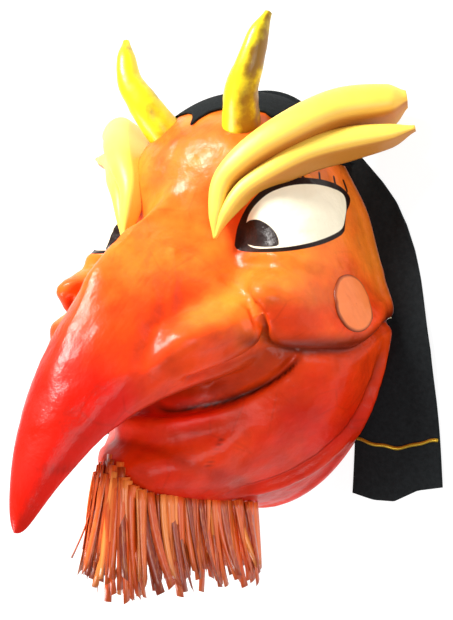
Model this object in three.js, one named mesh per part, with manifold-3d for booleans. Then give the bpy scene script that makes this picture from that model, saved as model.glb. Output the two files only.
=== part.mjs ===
// Carnival mask: a horned, hook-nosed papier-mache face with moulded eyebrows, a straw beard and a black cloth
// veil. It lies on its back rim with the face up. Millimetres: +Z is the way the face looks, +Y its crown and
// +X the viewer's right.
import * as THREE from "three";
import { mergeVertices } from "three/addons/utils/BufferGeometryUtils.js";
import Module from "manifold-3d";

const wasm = await Module();
wasm.setup();

// Driving sizes
const FACE_WIDTH = 264; // across the cheeks, at the rim
const FACE_HEIGHT = 345; // chin to crown, at the rim
const FACE_DEPTH = 110; // rim plane to forehead
const SHELL_WALL = 5; // papier-mache
const RIM_BEAD = 2.5; // how far the rim's rolled edge stands out from the wall above it
const HORN_BASE_RADIUS = 16;
const HORN_TIP_RADIUS = 2.8;
const BROW_DEPTH = 26; // front to back of a moulded eyebrow
const DISC_RADIUS = 20.5; // cheek disc
const DISC_THICKNESS = 1.6;
const CLOTH_THICKNESS = 2;
const TRIM_WIDTH = 2.6; // gold line near the veil's hem
const TRIM_THICKNESS = 0.6;
const HEM_TO_TRIM = 44;
const STRAW_LENGTH = 78;
const STRAW_WIDTH = 9;
const STRAW_THICKNESS = 1.6;
const STRAW_COUNT = 25;
const GAP = 0.3; // between pieces that touch

// The face is drawn on a blank of this size, and stretches with the driving sizes.
const BLANK = { width: 264, height: 345, depth: 110 };
const STRETCH = new THREE.Vector3(
  FACE_WIDTH / BLANK.width,
  FACE_HEIGHT / BLANK.height,
  FACE_DEPTH / BLANK.depth,
);
const drawn = (x, y, z) => new THREE.Vector3(x, y, z).multiply(STRETCH);

// Mesh density
const SECTORS = 70;
const NOSE_RINGS = 8;
const FACE_RINGS = 17;
const INNER_SECTORS = 42;
const INNER_NOSE_RINGS = 5;
const INNER_FACE_RINGS = 8;

const power = (value, exponent) => Math.sign(value) * Math.abs(value) ** exponent;
const hill = (x, y = 0) => Math.exp(-(x * x) - y * y);
const ease = (low, high, value) => {
  const share = THREE.MathUtils.clamp((value - low) / (high - low), 0, 1);
  return share * share * (3 - 2 * share);
};

// Eases from one [place, value] pair to the next.
function through(pairs, place) {
  const next = Math.max(1, pairs.findIndex((pair) => pair[0] >= place));
  const [from, to] = [pairs[next - 1], pairs[next]];
  return THREE.MathUtils.lerp(from[1], to[1], ease(from[0], to[0], place));
}

// A repeatable number from 0 to 1 for each index.
const scatter = (index, salt) => Math.abs((Math.sin(index * 12.9898 + salt * 78.233) * 43758.5453) % 1);

// Face outline, drawn on the blank
const CROWN_Y = 160;
const WIDEST_Y = -20;
const CHIN_Y = CROWN_Y - BLANK.height;
const BOXINESS = 3; // 2 gives an ellipsoid; more squares the face off
const JAW_SLANT = 0.42; // how much the jaw leans in above the rim

function rim(turn) {
  const across = Math.cos(turn);
  const up = Math.sin(turn);
  const half = BLANK.width / 2;
  if (up >= 0) return [half * power(across, 0.84), WIDEST_Y + (CROWN_Y - WIDEST_Y) * up ** 1.82];
  return [half * power(across, 1.08), WIDEST_Y + (WIDEST_Y - CHIN_Y) * power(up, 1.18)];
}

// How deep the face would be at this place if it were flat there: forehead, cheeks, muzzle, chin and sockets.
function fullness(x, y) {
  const side = Math.abs(x);
  const forehead = 11 * ease(25, 85, y) - 20 * ease(105, 165, y);
  const cheek = 56 * hill((side - 110) / 27, (y + 6) / (y > -6 ? 23 : 31));
  const cheekbone = 26 * hill((side - 108) / 30, (y - 28) / 26);
  const roll = 10 * hill((side - 72) / 34, (y - 4) / 16);
  const jaw = 86 * hill(x / 84, (y + 141) / (y > -141 ? 44 : 36));
  const chin = 17 * hill(x / 48, (y + 134) / 28);
  const muzzle = 20 * hill(x / 62, (y + 86) / 30);
  const socket = -9 * hill((side - 50) / 17, (y - 50) / 20);
  return 99 + forehead + cheek + cheekbone + roll + jaw + chin + muzzle + socket;
}

const mouthLine = (x) => -86 + 35 * (x / 96) ** 2;
const creaseLine = (side, z) => -44 + 0.02 * Math.max(0, 100 - side) ** 2 + 21 * ease(58, -4, z) ** 1.4;

// Carving that stands proud of the full face, or is cut into it.
function carving(x, y, z) {
  const side = Math.abs(x);
  const mouth = mouthLine(x);
  const lips = hill((x / 56) ** 2);
  const groove = -5 * hill((y - mouth) / 6) * ease(104, 88, side);
  const upperLip = 2.6 * hill((y - mouth - 12) / 7) * lips;
  const lowerLip = 6.2 * hill((y - mouth + 13) / 8) * lips;
  const underLip = -3.6 * hill((y - mouth + 30) / 9) * lips;
  const above = y - creaseLine(side, z);
  const reach = ease(64, 78, side);
  const crease = -5 * hill(above / 7) * reach;
  const cheekEdge = 5 * hill((above - 14) / 10) * reach;
  const eyeball = 4 * hill((side - 86) / 30, (y - 55) / 22);
  const lid = 2 * hill((y - 25 + 0.006 * (side - 80) ** 2) / 6) * hill((side - 82) / 26);
  return groove + upperLip + lowerLip + underLip + crease + cheekEdge + eyeball + lid;
}

// A point of the bare face: turn goes round from the viewer's right, out is 0 at the middle and 1 at the rim.
function facePoint(turn, out) {
  const [rimX, rimY] = rim(turn);
  const x = out * rimX;
  const y = out * rimY;
  const jaw = ease(-0.2, -0.8, Math.sin(turn));
  const slant = 1 - JAW_SLANT * jaw * ease(0.76, 1, out);
  return [x, y, slant * fullness(x, y) * Math.max(0, 1 - out ** BOXINESS) ** (1 / BOXINESS)];
}

// Where the nose meets the face, as shares of the way to the rim, by turn in degrees from chin to crown.
const NOSE_ROOT = [
  [-90, 0.335], [-50, 0.45], [-18, 0.63], [-2, 0.67], [14, 0.65], [31, 0.48], [48, 0.45], [72, 0.42], [90, 0.46],
];

// Stations of the nose from tip to root: ridge and underside (y, z), half width, where it is widest as a share of
// the height from underside to ridge, how much the flanks hollow towards the ridge, and how far the wings swell.
const NOSE_STATIONS = [
  { ridge: [-141, 257], under: [-155, 250], half: 6, widest: 0.5, hollow: 1, wing: 0 },
  { ridge: [-106, 249], under: [-134, 239], half: 17, widest: 0.45, hollow: 1, wing: 0 },
  { ridge: [-67, 233], under: [-110, 219], half: 29, widest: 0.4, hollow: 1.05, wing: 0 },
  { ridge: [-30, 213], under: [-92, 197], half: 38, widest: 0.36, hollow: 1.3, wing: 2 },
  { ridge: [5, 189], under: [-78, 170], half: 50, widest: 0.34, hollow: 1.7, wing: 5 },
  { ridge: [33, 159], under: [-69, 138], half: 64, widest: 0.32, hollow: 2.3, wing: 7 },
  { ridge: [57, 129], under: [-64, 110], half: 77, widest: 0.3, hollow: 3, wing: 7 },
];
const NOSE_TIP = [0, -153, 255];
const INNER_STATIONS = 5; // the hollow reaches as far into the nose as this many stations from its root
const UNDERSIDE_FLATNESS = 0.62;
const FACE_CONTROLS = 12;

function nosePoint(station, turn, inset) {
  const { ridge, under, half, widest, hollow, wing } = station;
  const up = Math.sin(turn);
  const across = Math.cos(turn);
  const tall = Math.hypot(ridge[0] - under[0], ridge[1] - under[1]);
  const middle = widest + (up >= 0 ? (1 - widest) * up : widest * power(up, UNDERSIDE_FLATNESS));
  const share = THREE.MathUtils.lerp(middle, 0.5, (2 * inset) / tall);
  const fullWing = inset > 0 ? 0 : hill((up - 0.1) / 0.26);
  const swell = wing * (fullWing - 0.5 * hill((up - 0.6) / 0.25));
  const width = (half - inset) * power(across, up >= 0 ? hollow : UNDERSIDE_FLATNESS) + swell * across;
  return [
    width,
    THREE.MathUtils.lerp(under[0], ridge[0], share),
    THREE.MathUtils.lerp(under[1], ridge[1], share),
  ];
}

// Turns for one ring. They crowd where the cheeks and the mouth are carved.
function turnsOf(count) {
  return Array.from({ length: count }, (_, i) => {
    const even = -Math.PI / 2 + (2 * Math.PI * i) / count;
    const right = even <= Math.PI / 2 ? even : Math.PI - even;
    const crowded = right - 0.2 * Math.cos(right) ** 2 * Math.sin(2 * (right + 0.35));
    return even <= Math.PI / 2 ? crowded : Math.PI - crowded;
  });
}

// The outward normal at each point of a set of rings.
function normalsOf(rings) {
  const last = rings.length - 1;
  return rings.map((ring, i) =>
    ring.map((_, j) => {
      const count = ring.length;
      const along = rings[Math.min(i + 1, last)][j].clone().sub(rings[Math.max(i - 1, 0)][j]);
      const round = ring[(j + 1) % count].clone().sub(ring[(j + count - 1) % count]);
      const normal = along.cross(round);
      if (i === last) normal.setZ(0);
      return normal.normalize();
    }),
  );
}

// Rings that the surface is drawn close to: the nose from its tip to its root, then the bare face out to the rim.
// An inset draws the same surface that far inside.
function guideRings(turns, stations, tip, inset) {
  const nose = stations.map((station) => turns.map((turn) => drawn(...nosePoint(station, turn, inset))));
  const bareFace = [];
  for (let i = 0; i <= FACE_CONTROLS; i++) {
    const run = 1 - (1 - i / FACE_CONTROLS) ** 1.6;
    bareFace.push(
      turns.map((turn) => {
        const height = THREE.MathUtils.radToDeg(Math.asin(Math.sin(turn)));
        const start = Math.asin(through(NOSE_ROOT, height) ** (BOXINESS / 2));
        const slope = THREE.MathUtils.lerp(start, Math.PI / 2, run);
        return drawn(...facePoint(turn, Math.sin(slope) ** (2 / BOXINESS)));
      }),
    );
  }
  const normals = normalsOf(bareFace);
  bareFace.forEach((ring, i) => ring.forEach((point, j) => point.addScaledVector(normals[i][j], -inset)));
  return [turns.map(() => tip), ...nose, ...bareFace];
}

// Rings of a smooth surface that runs close to its guides, at places counted in guides.
function smoothRings(guides, places) {
  const last = guides.length - 1;
  const guide = (i, j) => {
    if (i < 0) return guides[0][j].clone().multiplyScalar(2).sub(guides[1][j]);
    if (i > last) return guides[last][j].clone().multiplyScalar(2).sub(guides[last - 1][j]);
    return guides[i][j];
  };
  return places.map((place) => {
    const k = Math.min(Math.floor(place), last - 1);
    const f = place - k;
    const weights = [(1 - f) ** 3, 3 * f ** 3 - 6 * f ** 2 + 4, 3 * (f + f ** 2 - f ** 3) + 1, f ** 3];
    return guides[0].map((_, j) => {
      const point = new THREE.Vector3();
      weights.forEach((weight, n) => point.addScaledVector(guide(k - 1 + n, j), weight / 6));
      return point;
    });
  });
}

// Places for rings: over the nose, whose root is this many guides from the tip, and over the face.
function placesOf(root, noseRings, faceRings) {
  const nose = Array.from({ length: noseRings }, (_, i) => (root * (i + 1)) / (noseRings + 1));
  const onFace = Array.from({ length: faceRings + 1 }, (_, i) => root + (FACE_CONTROLS * i) / faceRings);
  return [...nose, ...onFace];
}

// A closed solid from rings of points, with a point at its start and a flat cap at its end. The second half of
// each ring is split the other way, so that rings that mirror themselves give a solid that does.
function solidOfRings(rings, tip, end) {
  const count = rings[0].length;
  const points = [tip, ...rings.flat(), end];
  const at = (ring, j) => 1 + ring * count + (j % count);
  const triangles = [];
  for (let j = 0; j < count; j++) {
    triangles.push(0, at(0, j), at(0, j + 1));
    for (let i = 0; i < rings.length - 1; i++) {
      const [a, b, c, d] = [at(i, j), at(i + 1, j), at(i + 1, j + 1), at(i, j + 1)];
      if (2 * j < count) triangles.push(a, b, c, a, c, d);
      else triangles.push(a, b, d, b, c, d);
    }
    triangles.push(at(rings.length - 1, j), points.length - 1, at(rings.length - 1, j + 1));
  }
  return new wasm.Manifold(
    new wasm.Mesh({
      numProp: 3,
      vertProperties: new Float32Array(points.flatMap((point) => point.toArray())),
      triVerts: new Uint32Array(triangles),
    }),
  );
}

function solidOfGeometry(geometry) {
  const plain = geometry.clone();
  plain.deleteAttribute("normal");
  plain.deleteAttribute("uv");
  const merged = mergeVertices(plain, 1e-4);
  return new wasm.Manifold(
    new wasm.Mesh({
      numProp: 3,
      vertProperties: merged.attributes.position.array,
      triVerts: new Uint32Array(merged.index.array),
    }),
  );
}

function geometryOf(solid) {
  const { vertProperties, triVerts } = solid.getMesh();
  return new THREE.BufferGeometry()
    .setAttribute("position", new THREE.BufferAttribute(vertProperties, 3))
    .setIndex(new THREE.BufferAttribute(triVerts, 1));
}

// The wall steps in above the rolled edge of the rim, by this much at a point of the bare face.
const BEAD_HEIGHT = 7;
const BEAD_FADE = 60;
function stepAboveRim(point) {
  const lower = ease(110, 40, point.y);
  const low = ease(BEAD_HEIGHT * 0.5, BEAD_HEIGHT * 1.6, point.z);
  return RIM_BEAD * lower * low * ease(BEAD_FADE, BEAD_HEIGHT, point.z);
}

// The face as one full solid, grown by a clearance.
function faceSolid(grow) {
  const root = NOSE_STATIONS.length + 1;
  const tip = drawn(...NOSE_TIP);
  const places = placesOf(root, NOSE_RINGS, FACE_RINGS);
  const rings = smoothRings(guideRings(turnsOf(SECTORS), NOSE_STATIONS, tip, 0), places);
  const normals = normalsOf(rings);
  rings.forEach((ring, i) =>
    ring.forEach((point, j) => {
      const { x, y, z } = point.clone().divide(STRETCH);
      const proud = carving(x, y, z) * ease(root - 0.5, root + 1.5, places[i]) - stepAboveRim(point);
      point.addScaledVector(normals[i][j], proud + grow);
    }),
  );
  tip.y -= grow;
  const floor = grow > 0 ? -1 : 0;
  rings.at(-1).forEach((point) => point.setZ(floor));
  return solidOfRings(rings, tip, new THREE.Vector3(0, 0, floor));
}

// The hollow behind the face, a wall's thickness inside it. It runs out through the rim plane.
function hollowSolid() {
  const stations = NOSE_STATIONS.slice(-INNER_STATIONS);
  const root = stations.length + 1;
  const { ridge, under } = stations[0];
  const tip = drawn(0, (ridge[0] + under[0]) / 2, (ridge[1] + under[1]) / 2);
  const places = placesOf(root, INNER_NOSE_RINGS, INNER_FACE_RINGS);
  const rings = smoothRings(guideRings(turnsOf(INNER_SECTORS), stations, tip, SHELL_WALL), places);
  const normals = normalsOf(rings);
  rings.forEach((ring, i) =>
    ring.forEach((point, j) => {
      const { x, y, z } = point.clone().divide(STRETCH);
      const cut = Math.min(carving(x, y, z), 0) * ease(root - 0.5, root + 1.5, places[i]);
      point.addScaledVector(normals[i][j], cut);
    }),
  );
  rings.push(rings.at(-1).map((point) => point.clone().setZ(-SHELL_WALL)));
  return solidOfRings(rings, tip, new THREE.Vector3(0, 0, -SHELL_WALL));
}

// A swept solid along a smooth path. Each knot is a point, with a half width; section gives the outline there.
function sweep(knots, halves, steps, section, depthWay) {
  const path = new THREE.CatmullRomCurve3(knots);
  const sizes = new THREE.SplineCurve(halves.map((half, i) => new THREE.Vector2(i, half)));
  const rings = [];
  for (let i = 0; i < steps; i++) {
    const t = i / (steps - 1);
    const centre = path.getPoint(t);
    const along = path.getTangent(t);
    const back = depthWay.clone().addScaledVector(along, -depthWay.dot(along)).normalize();
    const side = along.clone().cross(back);
    const half = sizes.getPoint(t).y;
    rings.push(
      section(half).map(([a, b]) => centre.clone().addScaledVector(side, a).addScaledVector(back, b)),
    );
  }
  const start = path.getPoint(0).addScaledVector(path.getTangent(0), -halves[0] * 0.6);
  const end = path.getPoint(1).addScaledVector(path.getTangent(1), halves.at(-1) * 0.6);
  const middleOf = (ring) => ring.reduce((sum, p) => sum.add(p), new THREE.Vector3()).divideScalar(ring.length);
  start.lerp(middleOf(rings[0]), 0.5);
  end.lerp(middleOf(rings.at(-1)), 0.5);
  return solidOfRings(rings, start, end);
}

const roundSection = (sides) => (half) =>
  Array.from({ length: sides }, (_, i) => {
    const a = (2 * Math.PI * i) / sides;
    return [half * Math.cos(a), half * Math.sin(a)];
  });

// A rounded front with flat sides that run back, deeper where the lobe is stouter.
const browSection = (half) => {
  const front = Array.from({ length: 7 }, (_, i) => {
    const a = Math.PI + (Math.PI * i) / 6;
    return [half * Math.cos(a), 0.85 * half * Math.sin(a)];
  });
  const deep = BROW_DEPTH * Math.min(1, half / BROW_STOUT);
  return [...front, [half * 0.9, deep], [-half * 0.9, deep]];
};

const mirrored = (solid) => solid.scale([-1, 1, 1]);

// Eyebrow: two lobes that leave one point over the nose and part at their outer ends.
const BROW_STOUT = 16;
const BROW_UPPER = [
  [45, 43, 110], [45, 56, 108], [47, 79, 103], [61, 97, 94],
  [87, 118, 74], [112, 134, 48], [141, 139, 26], [151, 141, 20],
];
const BROW_UPPER_HALF = [2.2, 5, 8, 11, 13.6, 14.6, 12, 5];
const BROW_LOWER = [
  [47, 43, 110], [53, 57, 106], [63, 74, 98], [81, 89, 84],
  [99, 102, 66], [121, 110, 48], [146, 114, 34], [162, 117, 28],
];
const BROW_LOWER_HALF = [2.2, 4.2, 6.4, 8, 9.4, 9.6, 6.6, 1.8];
const BROW_BACK_WAY = new THREE.Vector3(-0.28, -0.4, -0.87);
const BROW_STEPS = 9;

// The uncut eyebrow, grown by a clearance.
function browSolid(grow) {
  const lobe = (points, halves) => {
    const grown = halves.map((half) => half + grow);
    return sweep(points.map((p) => drawn(...p)), grown, BROW_STEPS, browSection, BROW_BACK_WAY);
  };
  return lobe(BROW_UPPER, BROW_UPPER_HALF).add(lobe(BROW_LOWER, BROW_LOWER_HALF));
}

// Horn: it leans out from the crown, then turns upright.
const HORN_PATH = [[32, 113, 60], [39, 126, 70], [50, 149, 84], [61, 167, 88], [67, 187, 86], [72, 202, 81]];
const HORN_TAPER = [1, 0.94, 0.78, 0.64, 0.48];
const HORN_STEPS = 9;
const HORN_SIDES = 12;

// The uncut horn, grown by a clearance.
function hornSolid(grow) {
  const halves = [...HORN_TAPER.map((share) => share * HORN_BASE_RADIUS + grow), HORN_TIP_RADIUS + grow];
  const knots = HORN_PATH.map((p) => drawn(...p));
  const back = new THREE.Vector3(0, 0, -1);
  return sweep(knots, halves, HORN_STEPS, roundSection(HORN_SIDES), back);
}

// Cheek disc: a thin round patch that follows the cheek's flank.
const DISC_PLACE = [119, -8, 50];
const DISC_TURN = THREE.MathUtils.degToRad(-16); // from facing straight to the side, towards the front

function cheekDisc(cutter, patch) {
  const centre = drawn(...DISC_PLACE);
  const round = new THREE.CylinderGeometry(DISC_RADIUS, DISC_RADIUS, 2 * DISC_RADIUS, 20);
  round.rotateZ(-Math.PI / 2);
  round.rotateY(DISC_TURN);
  round.translate(centre.x, centre.y, centre.z);
  return solidOfGeometry(round).intersect(patch).subtract(cutter);
}

const outline = (points) => new THREE.Shape(points.map(([x, y]) => new THREE.Vector2(x, y)));
const plate = (shape, low, high) => {
  const slab = new THREE.ExtrudeGeometry(shape, { depth: high - low, bevelEnabled: false, steps: 1 });
  return solidOfGeometry(slab.translate(0, 0, low));
};
const stretchFlat = ([x, y]) => [x * STRETCH.x, y * STRETCH.y];

// Veil: it covers the crown behind a peaked front edge and round the horns, and a tail lies on each side of the
// face.
const PEAK_EDGE = [
  [-1, 127], [0, 127], [3, 133], [9, 138], [17, 140], [33, 140], [49, 136], [57, 130], [70, 118], [82, 104], [89, 97],
];
const TAIL_OUTER = [
  [84, 124], [98, 108], [122, 82], [134, 66], [143, 49], [149, 31], [154, 9], [164, -43], [168, -79], [174, -142],
];
const TAIL_HEM = [[155, -147], [136, -158], [118, -160], [98, -158]];
const TAIL_INNER = [[99, -120], [80, -60], [80, 60], [70, 110]];

function veil(cutter, layer) {
  const half = [...PEAK_EDGE, [140, 98], [140, 200], [-1, 200]];
  const crown = plate(outline(half.map(stretchFlat)), 0, 2 * FACE_DEPTH);
  const tail = plate(outline([...TAIL_OUTER, ...TAIL_HEM, ...TAIL_INNER].map(stretchFlat)), 0, CLOTH_THICKNESS);
  const glued = hornSolid(2 * GAP).add(browSolid(2 * GAP));
  const oneSide = crown.intersect(layer).add(tail).subtract(glued);
  return oneSide.add(mirrored(oneSide)).subtract(cutter);
}

// Gold line across a tail, above its hem. It dips in the middle and rises towards the outer edge.
const TRIM_ENDS = [101, 170];
const TRIM_DIP = 3;

function veilTrim(cutter) {
  const low = Math.min(...TAIL_HEM.map(([, y]) => y)) * STRETCH.y + HEM_TO_TRIM;
  const [inner, outer] = TRIM_ENDS.map((x) => x * STRETCH.x);
  const middle = (inner + outer) / 2;
  const edge = [[inner, low], [middle, low - TRIM_DIP], [outer, low + 2 * TRIM_DIP]];
  const strip = [...edge, ...edge.map(([x, y]) => [x, y + TRIM_WIDTH]).reverse()];
  const underside = CLOTH_THICKNESS + GAP;
  return plate(outline(strip), underside, underside + TRIM_THICKNESS).subtract(cutter);
}

// Beard: straws on a band that runs round the underside of the chin. They spread a little towards their ends.
const BEARD_SPAN = THREE.MathUtils.degToRad(18); // to each side of the chin, as a turn round the face
const BAND_RADIUS = 3;
const STRAW_DROOP = 6;
const STRAW_STEPS = 3;
const BAND_STEPS = 11;
const BAND_SIDES = 5;
const STRAW_EVENNESS = 0.64; // spaces the straws evenly along the band

// A place on the band: share is -1 at its left end and 1 at its right end.
function beardRoot(share) {
  const turn = -Math.PI / 2 + share * BEARD_SPAN;
  const out = THREE.MathUtils.lerp(0.71, 0.965, share * share);
  return drawn(...facePoint(turn, out));
}

function straw(share, length, index) {
  const root = beardRoot(share);
  const sideways = 0.12 * share + 0.06 * (scatter(index, 1) - 0.5);
  const forward = 0.3 * (1 - share * share) + 0.08 * (scatter(index, 2) - 0.5);
  const way = new THREE.Vector3(sideways, -1, forward).normalize();
  const side = beardRoot(share + 0.02).sub(beardRoot(share - 0.02));
  side.addScaledVector(way, -side.dot(way)).normalize();
  const front = side.clone().cross(way).normalize();
  const rings = Array.from({ length: STRAW_STEPS }, (_, i) => {
    const run = i / (STRAW_STEPS - 1);
    const centre = root.clone().addScaledVector(way, run * length);
    centre.z -= STRAW_DROOP * run * run;
    const half = STRAW_WIDTH / 2;
    const thick = STRAW_THICKNESS / 2;
    return [[-half, -thick], [half, -thick], [half, thick], [-half, thick]].map(([a, b]) =>
      centre.clone().addScaledVector(side, a).addScaledVector(front, b),
    );
  });
  const ends = [rings[0], rings.at(-1)].map((ring) => ring[0].clone().add(ring[2]).divideScalar(2));
  return solidOfRings(rings, ends[0], ends[1]);
}

// The same solid with any pinholes that crossing straws enclose filled in.
function withoutPinholes(solid) {
  return solid
    .decompose()
    .filter((body) => body.volume() > 0)
    .reduce((joined, body) => joined.add(body));
}

function beard(cutter) {
  const knots = [-1, -0.6, -0.2, 0.2, 0.6, 1].map(beardRoot);
  const halves = knots.map(() => BAND_RADIUS);
  let all = sweep(knots, halves, BAND_STEPS, roundSection(BAND_SIDES), new THREE.Vector3(0, 1, 0));
  for (let i = 0; i < STRAW_COUNT; i++) {
    const share = power((2 * i) / (STRAW_COUNT - 1) - 1, STRAW_EVENNESS);
    const length = STRAW_LENGTH * (0.86 + 0.28 * scatter(i, 3)) * (1 - 0.3 * share * share);
    all = all.add(straw(share, length, i));
  }
  return withoutPinholes(all.subtract(cutter));
}

const paint = (color, roughness) => new THREE.MeshStandardMaterial({ color, roughness, metalness: 0 });
const SKIN = paint(0xf2541f, 0.35);
const HORN_YELLOW = paint(0xf2e02c, 0.45);
const BROW_OCHRE = paint(0xf7c757, 0.5);
const DISC_ORANGE = paint(0xf79250, 0.5);
const BLACK_CLOTH = paint(0x17181a, 0.95);
const GOLD = paint(0xa68a1e, 0.4);
const STRAW = paint(0xb4551f, 0.4);

const mask = new THREE.Group();
function place(name, solid, material) {
  const mesh = new THREE.Mesh(geometryOf(solid), material);
  mesh.name = name;
  mask.add(mesh);
}
function placePair(name, solid, material) {
  place(`${name}_right`, solid, material);
  place(`${name}_left`, mirrored(solid), material);
}

const face = faceSolid(0);
const cutter = faceSolid(GAP);
place("mask_shell", face.subtract(hollowSolid()), SKIN);
placePair("horn", hornSolid(0).subtract(cutter), HORN_YELLOW);
placePair("eyebrow", browSolid(0).subtract(cutter), BROW_OCHRE);
placePair("cheek_disc", cheekDisc(cutter, faceSolid(GAP + DISC_THICKNESS)), DISC_ORANGE);
place("veil", veil(cutter, faceSolid(GAP + CLOTH_THICKNESS)), BLACK_CLOTH);
placePair("veil_trim", veilTrim(cutter), GOLD);
place("straw_beard", beard(cutter), STRAW);

// The origin is the middle of the underside of everything.
const box = new THREE.Box3().setFromObject(mask);
mask.position.y = -(box.min.y + box.max.y) / 2;

export default mask;
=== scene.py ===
# Carnival mask: the looks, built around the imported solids. A horned, hook-nosed papier-mache face lies on
# its back rim on a pale floor. It has painted eyes, moulded eyebrows, a straw beard and a black cloth veil.
#
# Shapes are drawn in millimetres in the face's own frame: +Z is the way the face looks, +Y its crown and +X
# the viewer's right. to_row() turns them into metres in the row frame.
import math

import bpy
import numpy as np
from mathutils import Matrix, Vector
from mathutils.bvhtree import BVHTree


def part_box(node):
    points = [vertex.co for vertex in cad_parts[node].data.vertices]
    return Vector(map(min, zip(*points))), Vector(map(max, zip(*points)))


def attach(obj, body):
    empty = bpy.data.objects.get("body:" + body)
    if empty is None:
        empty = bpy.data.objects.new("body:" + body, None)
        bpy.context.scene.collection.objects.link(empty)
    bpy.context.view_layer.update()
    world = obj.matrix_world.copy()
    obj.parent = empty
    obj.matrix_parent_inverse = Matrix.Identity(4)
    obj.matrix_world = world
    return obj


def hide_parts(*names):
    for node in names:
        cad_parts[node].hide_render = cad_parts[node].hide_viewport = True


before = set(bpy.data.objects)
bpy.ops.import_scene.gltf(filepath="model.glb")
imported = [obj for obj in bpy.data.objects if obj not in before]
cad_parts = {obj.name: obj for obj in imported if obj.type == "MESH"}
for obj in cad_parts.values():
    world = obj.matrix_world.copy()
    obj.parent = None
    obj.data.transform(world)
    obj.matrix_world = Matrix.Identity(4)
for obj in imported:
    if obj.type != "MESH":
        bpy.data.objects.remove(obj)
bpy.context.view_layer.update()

MM = 0.001
CHIN_Y = -185.0  # the lowest place of the face's rim
FACE_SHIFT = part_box("mask_shell")[0].y / MM - CHIN_Y  # from the face's frame to the row frame, along Y

# Face sizes
FACE_WIDTH = 264.0
CROWN_Y = 160.0
WIDEST_Y = -20.0
SHELL_WALL = 5.0
RIM_BEAD = 2.5
BOXINESS = 3.0
JAW_SLANT = 0.42
CLOTH_THICKNESS = 1.6
GAP = 0.3

# Mesh density of the face
SECTORS = 432
NOSE_RINGS = 64
FACE_RINGS = 92
INNER_NOSE_RINGS = 12
INNER_FACE_RINGS = 60
FACE_CONTROLS = 12


def hill(x, y=0.0):
    return np.exp(-x * x - y * y)


def power(value, exponent):
    return np.sign(value) * np.abs(value) ** exponent


def ease(low, high, value):
    share = np.clip((value - low) / (high - low), 0, 1)
    return share * share * (3 - 2 * share)


def through(pairs, place):
    """Eases from one (place, value) pair to the next."""
    places = np.array([pair[0] for pair in pairs], float)
    values = np.array([pair[1] for pair in pairs], float)
    following = np.clip(np.searchsorted(places, place), 1, len(places) - 1)
    share = ease(places[following - 1], places[following], place)
    return values[following - 1] + share * (values[following] - values[following - 1])


def unit(vectors):
    return vectors / np.maximum(np.linalg.norm(vectors, axis=-1, keepdims=True), 1e-9)


def distance_to_line(places, start, end):
    way = end - start
    share = np.clip((places - start) @ way / (way @ way), 0, 1)
    return np.linalg.norm(places - start - share[..., None] * way, axis=-1)


# The face's surface. It is the same one that the solid is drawn on, with finer carving.
def rim(turn):
    across = np.cos(turn)
    up = np.sin(turn)
    x = FACE_WIDTH / 2 * np.where(up >= 0, power(across, 0.84), power(across, 1.08))
    y_above = (CROWN_Y - WIDEST_Y) * np.maximum(up, 0) ** 1.82
    y_below = (WIDEST_Y - CHIN_Y) * power(np.minimum(up, 0), 1.18)
    return x, WIDEST_Y + y_above + y_below


def fullness(x, y):
    side = np.abs(x)
    forehead = 11 * ease(25, 85, y) - 20 * ease(105, 165, y)
    cheek = 56 * hill((side - 110) / 27, (y + 6) / np.where(y > -6, 23, 31))
    cheekbone = 26 * hill((side - 108) / 30, (y - 28) / 26)
    roll = 10 * hill((side - 72) / 34, (y - 4) / 16)
    jaw = 86 * hill(x / 84, (y + 141) / np.where(y > -141, 44, 36))
    chin = 17 * hill(x / 48, (y + 134) / 28)
    muzzle = 20 * hill(x / 62, (y + 86) / 30)
    socket = -9 * hill((side - 50) / 17, (y - 50) / 20)
    return 99 + forehead + cheek + cheekbone + roll + jaw + chin + muzzle + socket


def mouth_line(x):
    return -88.5 + 41 * (np.abs(x) / 101) ** 2.4


def crease_line(side, z):
    return -44 + 0.02 * np.maximum(0, 100 - side) ** 2 + 21 * ease(58, -4, z) ** 1.4


def face_point(turn, out):
    rim_x, rim_y = rim(turn)
    x = out * rim_x
    y = out * rim_y
    jaw = ease(-0.2, -0.8, np.sin(turn))
    slant = 1 - JAW_SLANT * jaw * ease(0.76, 1, out)
    z = slant * fullness(x, y) * np.maximum(0, 1 - out**BOXINESS) ** (1 / BOXINESS)
    return np.stack([x, y, z], -1)


# Where the nose meets the face, as shares of the way to the rim, by turn in degrees from chin to crown.
NOSE_ROOT = [
    (-90, 0.335), (-50, 0.45), (-18, 0.63), (-2, 0.67), (14, 0.65),
    (31, 0.48), (48, 0.45), (72, 0.42), (90, 0.46),
]

# Stations of the nose from tip to root: ridge (y, z), underside (y, z), half width, where it is widest as a
# share of the height, how much the flanks hollow towards the ridge, and how far the wings swell.
NOSE_STATIONS = [
    ((-141, 257), (-155, 250), 6, 0.5, 1, 0),
    ((-106, 249), (-134, 239), 17, 0.45, 1, 0),
    ((-67, 233), (-110, 219), 29, 0.4, 1.05, 0),
    ((-30, 213), (-92, 197), 38, 0.36, 1.3, 2),
    ((5, 189), (-78, 170), 50, 0.34, 1.7, 5),
    ((33, 159), (-69, 138), 64, 0.32, 2.3, 7),
    ((57, 129), (-64, 110), 77, 0.3, 3, 7),
]
NOSE_TIP = np.array([0.0, -153.0, 255.0])
INNER_STATIONS = 5
UNDERSIDE_FLATNESS = 0.45
ROOT = len(NOSE_STATIONS) + 1


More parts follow.
